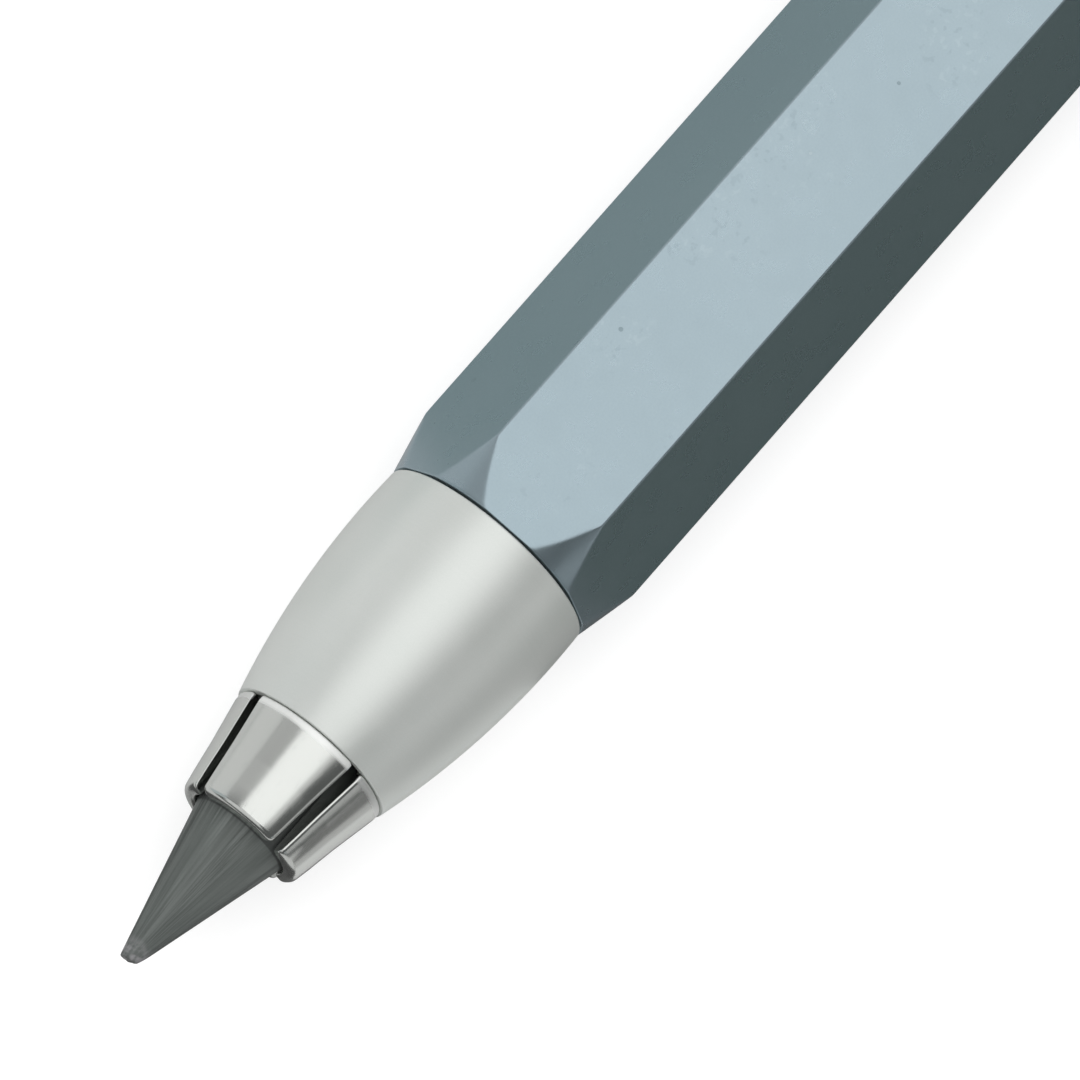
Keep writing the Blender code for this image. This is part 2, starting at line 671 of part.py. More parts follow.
def make_sharpener(parts, cutters, brass, steel):
    """The pointed bore that sharpens the lead, the blade along one side of it, and the blade's screw."""
    cone_length = (CONE_MOUTH_RADIUS - CONE_END_RADIUS) / math.tan(CONE_ANGLE)
    outline = [
        (SHARPENER_REAR, CONE_END_RADIUS),
        (SHARPENER_REAR, SHARPENER_RADIUS),
        (SHARPENER_FRONT, SHARPENER_RADIUS),
        (SHARPENER_FRONT, CONE_MOUTH_RADIUS),
        (SHARPENER_FRONT + cone_length, CONE_END_RADIUS),
    ]
    body = turned("sharpener_body", outline, parts, brass)

    # The seat: X runs back along the cone's upper side and Z points away from the cone.
    seat = bpy.data.objects.new("blade_seat", None)
    bpy.context.scene.collection.objects.link(seat)
    seat.location = Vector((SHARPENER_FRONT, 0.0, CONE_MOUTH_RADIUS - BLADE_CUT_DEPTH)) * MM
    seat.rotation_euler = (0.0, CONE_ANGLE, 0.0)

    reach = 3 * SHARPENER_RADIUS
    pocket = box("blade_pocket", (-reach, POCKET_SIDE, 0.0), (reach, reach, reach), cutters)
    length, width, thickness = BLADE_SIZE
    low = (BLADE_START, 0.0, BLADE_SEAT_GAP)
    high = (BLADE_START + length, width, BLADE_SEAT_GAP + thickness)
    blade = box("sharpener_blade", low, high, parts)
    blade.data.materials.append(steel)

    head_seat = BLADE_SEAT_GAP + thickness + BLADE_SEAT_GAP
    screw = upright_turned(
        "blade_screw",
        [
            (head_seat + SCREW_HEAD_HEIGHT, 0.0),
            (head_seat + SCREW_HEAD_HEIGHT, SCREW_HEAD_RADIUS - 0.1),
            (head_seat + SCREW_HEAD_HEIGHT - 0.1, SCREW_HEAD_RADIUS),
            (head_seat, SCREW_HEAD_RADIUS),
            (head_seat, SCREW_RADIUS),
            (-SCREW_DEPTH, SCREW_RADIUS),
            (-SCREW_DEPTH, 0.0),
        ],
        parts,
        steel,
    )
    hole_radius = SCREW_RADIUS + RUNNING_GAP
    hole_bottom = -SCREW_DEPTH - FACE_GAP
    hole = upright_turned(
        "screw_hole",
        [(1.0, 0.0), (1.0, hole_radius), (hole_bottom, hole_radius), (hole_bottom, 0.0)],
        cutters,
    )
    for obj in (pocket, blade, screw, hole):
        obj.parent = seat
    for obj in (screw, hole):
        obj.location = (SCREW_PLACE[0] * MM, SCREW_PLACE[1] * MM, 0.0)
    cut(body, as_cutter(pocket))
    cut(body, as_cutter(hole))
    cut(blade, hole)
    return [body, seat]


def put_on_axis(pieces, cutters):
    """Parents everything to one empty and moves that to where the holder lies."""
    axis = bpy.data.objects.new("holder_axis", None)
    bpy.context.scene.collection.objects.link(axis)
    for obj in [*pieces, *cutters.objects]:
        if obj.parent is None:
            obj.parent = axis
    axis.location = (-MIDDLE * MM, 0.0, AXIS_HEIGHT * MM)


def build():
    clear_scene()
    parts = new_collection("lead_holder")
    cutters = new_collection("cutters")
    lacquer = new_material("steel_blue_lacquer", (0.33, 0.42, 0.46), 0.38, 0.45)
    satin = new_material("satin_aluminium", (0.72, 0.74, 0.72), 0.36, 1.0)
    chrome = new_material("chrome_plate", (0.80, 0.80, 0.79), 0.12, 1.0)
    graphite = new_material("graphite", (0.13, 0.14, 0.135), 0.45, 0.1)
    brass = new_material("brass", (0.74, 0.60, 0.32), 0.3, 1.0)
    steel = new_material("spring_steel", (0.55, 0.55, 0.55), 0.3, 1.0)
    pieces = [
        *make_barrel(parts, cutters, lacquer),
        *make_nose_cone(parts, satin),
        *make_jaws(parts, cutters, chrome),
        *make_collet_sleeve(parts, chrome),
        *make_lead_tube(parts, brass),
        *make_lead(parts, graphite),
        *make_spring(parts, steel),
        *make_spring_bearings(parts, cutters, steel, brass),
        *make_end_collar(parts, chrome),
        *make_clip_ring(parts, cutters, chrome),
        *make_clip_arm(parts, cutters, chrome),
        *make_push_button(parts, satin),
        *make_button_cap(parts, satin),
        *make_sharpener(parts, cutters, brass, steel),
    ]
    put_on_axis(pieces, cutters)


build()
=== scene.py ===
"""Looks of the clutch lead holder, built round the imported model.

Shapes are worked out in millimetres in the holder's own frame: stations run along the axis from the front
end of the barrel, negative towards the tip, and radii are measured from the axis. The pieces stand on that
frame's origin, so their own coordinates and the patterns in their materials start there too.
"""

import math

import bmesh
import bpy
import numpy as np
from mathutils import Matrix, Vector
from mathutils.noise import noise


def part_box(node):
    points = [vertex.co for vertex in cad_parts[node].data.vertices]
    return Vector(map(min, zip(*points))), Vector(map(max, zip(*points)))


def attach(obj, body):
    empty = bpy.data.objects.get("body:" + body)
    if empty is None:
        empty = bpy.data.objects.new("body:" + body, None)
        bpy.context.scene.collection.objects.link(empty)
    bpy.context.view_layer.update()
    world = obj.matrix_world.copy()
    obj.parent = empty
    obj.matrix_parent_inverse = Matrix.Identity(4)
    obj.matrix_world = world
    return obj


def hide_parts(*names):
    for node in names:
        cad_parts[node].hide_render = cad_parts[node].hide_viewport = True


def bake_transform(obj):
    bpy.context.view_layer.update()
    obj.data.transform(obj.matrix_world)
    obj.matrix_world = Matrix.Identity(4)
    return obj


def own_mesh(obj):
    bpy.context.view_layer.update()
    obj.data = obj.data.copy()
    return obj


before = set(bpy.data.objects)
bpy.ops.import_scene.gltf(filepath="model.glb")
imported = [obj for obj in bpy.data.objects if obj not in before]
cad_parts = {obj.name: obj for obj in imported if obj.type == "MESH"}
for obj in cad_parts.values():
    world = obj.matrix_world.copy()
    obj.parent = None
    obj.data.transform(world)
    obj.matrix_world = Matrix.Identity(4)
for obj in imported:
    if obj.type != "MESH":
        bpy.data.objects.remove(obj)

MM = 0.001
TAU = 2 * math.pi
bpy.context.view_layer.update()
BARREL_LOW, BARREL_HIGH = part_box("barrel")
ORIGIN = Vector((BARREL_LOW.x, 0.0, (BARREL_LOW.z + BARREL_HIGH.z) / 2))
ROUND = 160  # facets round a turned piece


# ---------------------------------------------------------------- measures taken from the frame


def ends(node):
    """First and last station of a CAD node."""
    low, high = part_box(node)
    return (low.x - ORIGIN.x) / MM, (high.x - ORIGIN.x) / MM


def outer_radius(node):
    low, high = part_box(node)
    return max((high.z - low.z), (high.y - low.y)) / 2 / MM


def inner_radius(node):
    """Smallest distance of a hollow turned node's wall from the axis."""
    points = np.array([v.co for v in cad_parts[node].data.vertices])
    return float(np.hypot(points[:, 1], points[:, 2] - ORIGIN.z).min()) / MM


# ---------------------------------------------------------------- shapes


def filleted(corners, closed=True, steps=5):
    """A polyline with rounded corners. A corner is (station, radius) or (station, radius, fillet)."""
    made = []
    count = len(corners)
    for i, corner in enumerate(corners):
        at = np.array(corner[:2], float)
        fillet = corner[2] if len(corner) > 2 else 0.0
        if fillet == 0.0 or (not closed and i in (0, count - 1)):
            made.append(tuple(at))
            continue
        before = np.array(corners[i - 1][:2], float)
        after = np.array(corners[(i + 1) % count][:2], float)
        way_in = (at - before) / np.linalg.norm(at - before)
        way_out = (after - at) / np.linalg.norm(after - at)
        cross = way_in[0] * way_out[1] - way_in[1] * way_out[0]
        turn = math.atan2(cross, float(way_in @ way_out))
        reach = abs(fillet * math.tan(turn / 2))
        start = at - way_in * reach
        side = math.copysign(1.0, turn)
        centre = start + np.array((-way_in[1], way_in[0])) * side * fillet
        arm = start - centre
        for step in range(steps + 1):
            angle = turn * step / steps
            cos, sin = math.cos(angle), math.sin(angle)
            turned_arm = np.array((arm[0] * cos - arm[1] * sin, arm[0] * sin + arm[1] * cos))
            made.append(tuple(centre + turned_arm))
    return made


def grid_faces(rows, columns, wrap_rows, wrap_columns):
    """Quads between neighbouring points of a grid whose points are numbered row by row."""
    faces = []
    for i in range(rows if wrap_rows else rows - 1):
        for j in range(columns if wrap_columns else columns - 1):
            down, right = (i + 1) % rows, (j + 1) % columns
            faces.append((i * columns + j, i * columns + right, down * columns + right, down * columns + j))
    return faces


def piece(name, points, faces, material, body, replaced=(), sharp=32.0):
    """A mesh in the holder's frame, from points in millimetres, that rides on a body."""
    mesh = bpy.data.meshes.new(name)
    mesh.from_pydata([tuple(c * MM for c in p) for p in points], [], faces)
    shape = bmesh.new()
    shape.from_mesh(mesh)
    bmesh.ops.remove_doubles(shape, verts=shape.verts, dist=1e-8)
    bmesh.ops.recalc_face_normals(shape, faces=shape.faces)
    shape.to_mesh(mesh)
    shape.free()
    mesh.shade_smooth()
    mesh.set_sharp_from_angle(angle=math.radians(sharp))
    mesh.materials.append(material)
    obj = bpy.data.objects.new(name, mesh)
    bpy.context.scene.collection.objects.link(obj)
    obj.location = ORIGIN
    even = obj.modifiers.new("Even normals", "WEIGHTED_NORMAL")
    even.keep_sharp = True
    settle(obj, body, replaced)
    return obj


def settle(obj, body, replaced=()):
    """Says which body the piece rides on, if it is one and the nodes it stands for."""
    if body:
        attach(obj, body)
    if replaced:
        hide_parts(*replaced)


def turned(name, outline, material, body, replaced=(), sides=ROUND, shape=None):
    """A closed outline of (station, radius) turned about the axis.

    shape, if given, returns a point's new station and radius for its station, radius and angle.
    """
    points = []
    for i in range(sides):
        angle = TAU * i / sides
        for station, radius in outline:
            x, r = shape(station, radius, angle) if shape else (station, radius)
            points.append((x, r * math.sin(angle), r * math.cos(angle)))
    faces = grid_faces(sides, len(outline), True, True)
    return piece(name, points, faces, material, body, replaced)


def solid_turned(name, outline, material, body, replaced=(), sides=ROUND, shape=None):
    """An outline whose first and last points lie on the axis, turned into a piece with no bore."""
    ring = [p for p in outline if p[1] > 0]
    points = []
    for i in range(sides):
        angle = TAU * i / sides
        for station, radius in ring:
            x, r = shape(station, radius, angle) if shape else (station, radius)
            points.append((x, r * math.sin(angle), r * math.cos(angle)))
    faces = grid_faces(sides, len(ring), True, False)
    for column in (0, len(ring) - 1):
        around = [points[i * len(ring) + column][0] for i in range(sides)]
        points.append((sum(around) / sides, 0.0, 0.0))
        for i in range(sides):
            here = i * len(ring) + column
            there = (i + 1) % sides * len(ring) + column
            faces.append((here, there, len(points) - 1))
    return piece(name, points, faces, material, body, replaced)


def part_turned(name, outline, start, end, material, body, replaced=(), steps=72):
    """A closed outline turned through part of a circle, with flat ends."""
    points = []
    for i in range(steps + 1):
        angle = start + (end - start) * i / steps
        points += [(x, r * math.sin(angle), r * math.cos(angle)) for x, r in outline]
    columns = len(outline)
    faces = grid_faces(steps + 1, columns, False, True)
    faces.append(tuple(range(columns)))
    faces.append(tuple(range(steps * columns, (steps + 1) * columns)))
    return piece(name, points, faces, material, body, replaced)


def inset(outline, distance):
    """A closed outline moved inwards by distance, each corner along its mitre."""
    shortest_cosine = 0.4  # keeps a sharp corner's mitre short
    points = np.array(outline, float)
    area = 0.5 * sum(
        points[i - 1][0] * points[i][1] - points[i][0] * points[i - 1][1] for i in range(len(points))
    )
    side = math.copysign(1.0, area)
    made = []
    for i, at in enumerate(points):
        way_in = at - points[i - 1]
        way_out = points[(i + 1) % len(points)] - at
        way_in = way_in / np.linalg.norm(way_in)
        way_out = way_out / np.linalg.norm(way_out)
        normal = np.array((-way_in[1] - way_out[1], way_in[0] + way_out[0])) * side
        normal = normal / np.linalg.norm(normal)
        cosine = float(normal @ (np.array((-way_in[1], way_in[0])) * side))
        made.append(tuple(at + normal * distance / max(cosine, shortest_cosine)))
    return made


# ---------------------------------------------------------------- materials


HIGHLIGHT_RING_START = ends("nose_cone")[0] - 0.45  # where the white ring on the jaws' shoulder begins, a painted highlight
LEAD_TIP = ends("lead")[0]
LEAD_CUT = ends("collet_jaw_1")[0] + 0.45  # where the lead's point begins, just inside the jaws


class Shading:
    """Builds one material's nodes. A value given to a socket is set on it, and a socket is linked.

    Noise scales are in features per metre, and a bump's distance is its depth in metres.
    """

    def __init__(self, name, colour, metallic, roughness):
        self.material = bpy.data.materials.new(name)
        self.material.use_nodes = True
        self.tree = self.material.node_tree
        self.shader = self.tree.nodes["Principled BSDF"]
        self.give(self.shader, "Base Color", (*colour, 1.0))
        self.give(self.shader, "Metallic", metallic)
        self.give(self.shader, "Roughness", roughness)
        where = self.tree.nodes.new("ShaderNodeTexCoord")
        self.place = self.add("ShaderNodeSeparateXYZ", Vector=where.outputs["Object"])
        self.object_point = where.outputs["Object"]

    def give(self, node, socket, value):
        if isinstance(value, bpy.types.NodeSocket):
            self.tree.links.new(value, node.inputs[socket])
        else:
            node.inputs[socket].default_value = value

    def add(self, kind, settings=None, **inputs):
        node = self.tree.nodes.new(kind)
        for key, value in (settings or {}).items():
            setattr(node, key, value)
        for socket, value in inputs.items():
            self.give(node, socket.replace("_", " "), value)
        return node

    def math(self, operation, *values):
        node = self.tree.nodes.new("ShaderNodeMath")
        node.operation = operation
        for i, value in enumerate(values):
            self.give(node, i, value)
        return node.outputs[0]

    def remap(self, value, low, high, to_low=0.0, to_high=1.0):
        node = self.add("ShaderNodeMapRange", {"clamp": True})
        for socket, given in enumerate((value, low, high, to_low, to_high)):
            self.give(node, socket, given)
        return node.outputs[0]

    def noise(self, scale, detail=2.0, vector=None, roughness=0.5):
        vector = vector or self.object_point
        node = self.add("ShaderNodeTexNoise", Vector=vector, Scale=scale, Detail=detail)
        self.give(node, "Roughness", roughness)
        return node.outputs["Fac"]

    def from_axis(self):
        """Distance from the holder's axis."""
        y, z = self.place.outputs["Y"], self.place.outputs["Z"]
        return self.math("SQRT", self.math("ADD", self.math("MULTIPLY", y, y), self.math("MULTIPLY", z, z)))

    def turning_lines(self, per_metre, detail=3.0):
        """Noise that changes only along the axis and away from it, as a lathe tool leaves it."""
        along = self.math("ADD", self.place.outputs["X"], self.from_axis())
        node = self.add("ShaderNodeTexNoise", {"noise_dimensions": "1D"}, W=along)
        self.give(node, "Scale", per_metre)
        self.give(node, "Detail", detail)
        return node.outputs["Fac"]

    def blend(self, factor, first, second):
        node = self.add("ShaderNodeMix", {"data_type": "RGBA"})
        self.give(node, 0, factor)
        for socket, colour in ((6, first), (7, second)):
            if not isinstance(colour, bpy.types.NodeSocket):
                colour = (*colour, 1.0)
            self.give(node, socket, colour)
        return node.outputs[2]

    def bump(self, height, distance, strength=1.0):
        last = self.shader.inputs["Normal"].links
        node = self.add("ShaderNodeBump", Height=height, Distance=distance, Strength=strength)
        if last:
            self.give(node, "Normal", last[0].from_socket)
        self.give(self.shader, "Normal", node.outputs["Normal"])


def lacquer():
    """Steel-blue metallic lacquer with an orange-peel surface, flecks and a few specks of dust under it.

    The flecks are strongest on the flat that faces up.
    """
    s = Shading("steel_blue_lacquer", (0.40, 0.50, 0.55), 0.94, 0.36)
    pale, deep = (0.5, 0.6, 0.64), (0.30, 0.385, 0.43)
    cloud = s.remap(s.noise(90.0, 3.0), 0.3, 0.7)
    flake = s.remap(s.noise(9000.0, 1.0), 0.3, 0.7)
    colour = s.blend(cloud, (0.385, 0.485, 0.535), (0.405, 0.505, 0.555))
    colour = s.blend(s.math("MULTIPLY", flake, 0.18), colour, pale)

    facing_up = s.remap(s.place.outputs["Z"], 5.6 * MM, 5.95 * MM, 0.12, 1.0)
    clusters = s.math("MULTIPLY", s.remap(s.noise(190.0, 3.0), 0.5, 0.62), facing_up)
    flecks = s.noise(2100.0, 3.0)
    low = s.math("MULTIPLY", s.remap(flecks, 0.40, 0.34, 0.0, 0.34), clusters)
    high = s.math("MULTIPLY", s.remap(flecks, 0.60, 0.66, 0.0, 0.34), clusters)
    colour = s.blend(low, colour, deep)
    colour = s.blend(high, colour, pale)

    cells = s.add("ShaderNodeTexVoronoi", Vector=s.object_point, Scale=520.0)
    chance = s.add("ShaderNodeSeparateColor", Color=cells.outputs["Color"])
    reach = s.remap(chance.outputs[0], 0.72, 1.0, 0.0, 0.1)
    speck = s.math("LESS_THAN", cells.outputs["Distance"], reach)
    patches = s.remap(s.noise(160.0, 2.0), 0.48, 0.58)
    speck = s.math("MULTIPLY", speck, patches)
    is_pale = s.math("GREATER_THAN", chance.outputs[1], 0.5)
    tone = s.blend(is_pale, (0.2, 0.27, 0.3), (0.62, 0.7, 0.73))
    colour = s.blend(s.math("MULTIPLY", speck, 0.6), colour, tone)

    s.give(s.shader, "Base Color", colour)
    s.give(s.shader, "Roughness", s.remap(s.noise(700.0, 3.0), 0.3, 0.7, 0.26, 0.32))
    s.give(s.shader, "Coat Weight", 0.2)
    s.give(s.shader, "Coat Roughness", 0.16)
    s.bump(s.noise(1300.0, 2.0), 0.000006)
    s.bump(speck, 0.00001)
    return s.material


def satin_aluminium():
    """Aluminium turned on a lathe, then blasted and etched to an even satin."""
    s = Shading("satin_aluminium", (0.72, 0.75, 0.72), 0.68, 0.42)
    lines = s.turning_lines(5200.0)
    broad = s.noise(260.0, 3.0)
    grain = s.noise(14000.0, 2.0)
    tone = s.math("ADD", s.math("MULTIPLY", lines, 0.12), s.math("MULTIPLY", broad, 0.48))
    tone = s.math("ADD", tone, s.math("MULTIPLY", grain, 0.4))
    colour = s.blend(s.remap(tone, 0.3, 0.7), (0.70, 0.73, 0.70), (0.76, 0.78, 0.755))
    s.give(s.shader, "Base Color", colour)
    s.give(s.shader, "Roughness", s.remap(tone, 0.3, 0.7, 0.38, 0.46))
    s.bump(lines, 0.0000003)
    s.bump(grain, 0.0000016)
    return s.material


def chrome(name, highlight_ring_start=None, highlight_ring_metallic=1.0):
    """Bright chrome plate over turned brass, faintly hazed and wavy, with hairline scratches.

    Behind the station highlight_ring_start, if there is one, the outer side is painted a white satin: a
    painted highlight that stands in for the light on the jaws' rounded shoulder. The lower
    highlight_ring_metallic is, the whiter this painted highlight looks.
    """
    s = Shading(name, (0.82, 0.82, 0.81), 1.0, 0.12)
    stretched = s.add("ShaderNodeMapping", Vector=s.object_point)
    s.give(stretched, "Scale", (0.06, 1.0, 1.0))
    s.give(stretched, "Rotation", (0.0, 0.12, 0.2))
    hair = s.remap(s.noise(7000.0, 2.0, stretched.outputs["Vector"]), 0.60, 0.72)
    smear = s.noise(420.0, 3.0)
    colour = s.blend(smear, (0.81, 0.83, 0.795), (0.87, 0.885, 0.855))
    rough = s.math("ADD", s.remap(smear, 0.35, 0.7, 0.16, 0.21), s.math("MULTIPLY", hair, 0.06))
    # Painted highlight: white satin colour on the shoulder where its rounded rim would reflect the light
    # above.
    if highlight_ring_start is not None:
        border = 0.09
        starts, full = (highlight_ring_start - border) * MM, (highlight_ring_start + border) * MM
        outside = s.remap(s.from_axis(), 4.34 * MM, 4.44 * MM)
        painted_highlight = s.math("MULTIPLY", s.remap(s.place.outputs["X"], starts, full), outside)
        colour = s.blend(painted_highlight, colour, (0.95, 0.96, 0.94))
        rough = s.math("ADD", rough, s.math("MULTIPLY", painted_highlight, 0.3))
        s.give(s.shader, "Metallic", s.remap(painted_highlight, 0.0, 1.0, 1.0, highlight_ring_metallic))
    s.give(s.shader, "Base Color", colour)
    s.give(s.shader, "Roughness", rough)
    s.bump(s.noise(300.0, 1.0), 0.0000025)
    s.bump(hair, 0.0000003)
    return s.material


def graphite():
    """Fired graphite and clay. The point carries fine lengthwise cuts from the sharpener.

    The colour is paler near the tip. From just in front of the jaws back, the lead is painted near black:
    painted shade of the gap at the jaws, which also gives the uncut lead a darker skin.
    """
    s = Shading("graphite", (0.13, 0.14, 0.135), 0.22, 0.48)
    away = s.math("MAXIMUM", s.from_axis(), 0.0002)
    around_y = s.math("DIVIDE", s.place.outputs["Y"], away)
    around_z = s.math("DIVIDE", s.place.outputs["Z"], away)

    def streaks(around, per_metre, detail):
        where = s.add(
            "ShaderNodeCombineXYZ",
            X=s.math("MULTIPLY", s.place.outputs["X"], per_metre),
            Y=s.math("MULTIPLY", around_y, around),
            Z=s.math("MULTIPLY", around_z, around),
        )
        return s.noise(1.0, detail, where.outputs[0], 0.6)

    broad = streaks(4.0, 110.0, 2.0)
    fine = streaks(15.0, 260.0, 2.0)
    hair = streaks(40.0, 420.0, 1.0)
    grain = s.noise(9000.0, 2.0)
    cut_here = s.remap(streaks(2.2, 170.0, 1.0), 0.42, 0.6, 0.15, 1.0)
    streak = s.math("ADD", s.math("MULTIPLY", fine, 0.65), s.math("MULTIPLY", hair, 0.35))
    streak = s.math("MULTIPLY", s.math("SUBTRACT", streak, 0.5), cut_here)
    streak = s.math("ADD", streak, s.math("MULTIPLY", s.math("SUBTRACT", broad, 0.5), 0.5))
    streak = s.remap(streak, -0.17, 0.17)
    colour = s.blend(streak, (0.048, 0.056, 0.051), (0.142, 0.157, 0.148))
    colour = s.blend(s.math("MULTIPLY", grain, 0.25), colour, (0.1, 0.105, 0.105))
    # Paler near the tip, in patches.
    near_tip = s.remap(s.place.outputs["X"], (LEAD_TIP + 0.5) * MM, (LEAD_TIP + 1.3) * MM, 1.0, 0.0)
    near_tip = s.math("MULTIPLY", near_tip, s.remap(s.noise(2600.0, 2.0), 0.4, 0.6, 0.1, 0.8))
    colour = s.blend(near_tip, colour, (0.27, 0.265, 0.275))
    # Painted shade: near black from just in front of the jaws back, for the shadow in the gap between lead
    # and jaws; it also gives the uncut lead a darker skin.
    jaw_gap_shade_and_uncut_skin = s.remap(s.place.outputs["X"], (LEAD_CUT - 0.48) * MM, (LEAD_CUT - 0.42) * MM, 0.0, 0.7)
    colour = s.blend(jaw_gap_shade_and_uncut_skin, colour, (0.03, 0.031, 0.031))
    s.give(s.shader, "Base Color", colour)
    s.give(s.shader, "Roughness", s.remap(streak, 0.0, 1.0, 0.56, 0.42))
    s.bump(s.math("MULTIPLY", fine, cut_here), 0.00002)
    s.bump(s.math("MULTIPLY", hair, cut_here), 0.000008)
    s.bump(grain, 0.000003)
    return s.material


def turned_metal(name, dark, light, low, high, per_metre=4000.0):
    """Plain turned or drawn metal for the pieces inside."""
    s = Shading(name, light, 1.0, (low + high) / 2)
    lines = s.turning_lines(per_metre)
    stain = s.noise(300.0, 3.0)
    s.give(s.shader, "Base Color", s.blend(s.remap(stain, 0.3, 0.7), dark, light))
    s.give(s.shader, "Roughness", s.remap(lines, 0.3, 0.7, low, high))
    s.bump(lines, 0.000002)
    return s.material


LACQUER = lacquer()
SATIN = satin_aluminium()
CHROME = chrome("chrome_plate")
# The top jaw gets a whiter copy of the painted highlight on the shoulder and the side jaws get a fainter
# one: lit and shaded copies of one plate.
TOP_JAW_BRIGHT_HIGHLIGHT_CHROME = chrome("top_jaw_plate_bright_painted_highlight", HIGHLIGHT_RING_START, 0.75)
SIDE_JAW_FAINT_HIGHLIGHT_CHROME = chrome("side_jaw_plate_faint_painted_highlight", HIGHLIGHT_RING_START, 0.96)
GRAPHITE = graphite()
BRASS = turned_metal("turned_brass", (0.62, 0.47, 0.22), (0.78, 0.63, 0.34), 0.22, 0.34)
STEEL = turned_metal("spring_steel", (0.42, 0.42, 0.42), (0.60, 0.60, 0.59), 0.2, 0.34)


# ---------------------------------------------------------------- barrel


ACROSS_FLATS = (BARREL_HIGH.z - BARREL_LOW.z) / MM
CORNER_RADIUS = ACROSS_FLATS / math.sqrt(3)
CORNER_FILLET = 0.16
FRONT_CONE_RADIUS = 6.17
FRONT_CONE_LENGTH = 3.4
FRONT_LIP = 0.2  # how far the lacquered edge reaches over the joint towards the nose cone
REAR_CONE_RADIUS = 6.2
REAR_CONE_LENGTH = 3.0
SOFTNESS = 0.02  # how far the lacquer rounds the edge between a flat and the turned cone


def hexagon_radius(angle):
    """Distance from the axis to the hexagon with rounded corners. A flat faces angle 0."""
    sector = TAU / 6
    off = abs((angle + sector / 2) % sector - sector / 2)
    half = ACROSS_FLATS / 2
    fillet_centre = (half - CORNER_FILLET) / math.cos(sector / 2)
    from_corner = sector / 2 - off
    sine = fillet_centre * math.sin(from_corner)
    on_fillet = fillet_centre * math.cos(from_corner) + math.sqrt(max(CORNER_FILLET**2 - sine**2, 0.0))
    touches = math.atan2(half * math.tan(sector / 2) - CORNER_FILLET * math.tan(sector / 2), half)
    return half / math.cos(off) if off < touches else on_fillet


def soft_minimum(a, b, softness):
    gap = a - b
    return (a + b - math.sqrt(gap * gap + softness * softness)) / 2


def barrel_angles():
    """Angles round the barrel, closer together at the corners."""
    angles = []
    sector = TAU / 6
    per_flat = 44
    fillet_span = 0.03
    corner_steps = 12
    for side in range(6):
        middle = side * sector
        span = sector / 2 - fillet_span
        for i in range(per_flat):
            angles.append(middle - span + 2 * span * i / per_flat)
        for i in range(corner_steps):
            angles.append(middle + span + 2 * fillet_span * i / corner_steps)
    return angles


def make_barrel():
    front, rear = ends("barrel")
    front -= FRONT_LIP
    fine = 0.05
    front_stations = [front + fine * i for i in range(1, 88)]
    middle = np.linspace(front_stations[-1], rear - 4.2, 24)[1:-1]
    rear_stations = [rear - 4.2 + fine * i for i in range(84)]
    outer = [*front_stations, *middle, *rear_stations]
    front_slope = (CORNER_RADIUS - FRONT_CONE_RADIUS) / FRONT_CONE_LENGTH
    rear_slope = (CORNER_RADIUS - REAR_CONE_RADIUS) / REAR_CONE_LENGTH
    bore, thread_bore = inner_radius("barrel"), inner_radius("barrel") + 0.4
    front_depth, rear_depth = 8.0 + FRONT_LIP, 7.0
    edge_steps = 4

    def outside(station, angle):
        cone = min(
            FRONT_CONE_RADIUS + (station - front) * front_slope,
            REAR_CONE_RADIUS + (rear - station) * rear_slope,
        )
        return soft_minimum(hexagon_radius(angle), cone, SOFTNESS)

    inside = filleted(
        [
            (rear, thread_bore, 0.15),
            (rear - rear_depth, thread_bore),
            (rear - rear_depth, bore),
            (front + front_depth, bore),
            (front + front_depth, thread_bore),
            (front, thread_bore, 0.15),
        ],
        closed=False,
    )
    rounding = 0.05
    points = []
    angles = barrel_angles()
    for angle in angles:
        sin, cos = math.sin(angle), math.cos(angle)
        column = []
        for i in range(edge_steps + 1):
            turn = math.pi / 2 * i / edge_steps
            drop = rounding * (1 - math.sin(turn))
            column.append((front + rounding * (1 - math.cos(turn)), outside(front, angle) - drop))
        column += [(x, outside(x, angle)) for x in outer[1:-1]]
        for i in range(edge_steps + 1):
            turn = math.pi / 2 * i / edge_steps
            drop = rounding * (1 - math.cos(turn))
            column.append((rear - rounding * (1 - math.sin(turn)), outside(rear, angle) - drop))
        column += inside
        points += [(station, radius * sin, radius * cos) for station, radius in column]
    faces = grid_faces(len(angles), len(points) // len(angles), True, True)
    piece("barrel_shell", points, faces, LACQUER, "housing", ["barrel"])


# ---------------------------------------------------------------- nose cone


NOSE_BELLY = -2.45  # station where the nose cone is thickest
NOSE_SHOULDER = -0.33  # its rear face, beside the barrel's front edge
NOSE_LIP_RADIUS = 4.69
NOSE_LIP_EDGE = 0.06
NOSE_MOUTH_RADIUS = 4.26  # the wide end of the seat that closes the jaws
NOSE_SEAT_END = (-11.9, 3.78)  # station and radius of the seat's narrow end
NOSE_BORE = (-11.5, 4.0)  # where the bore behind the seat begins, and its radius
THREAD_RADIUS = 5.0  # of the barrel's threaded ends


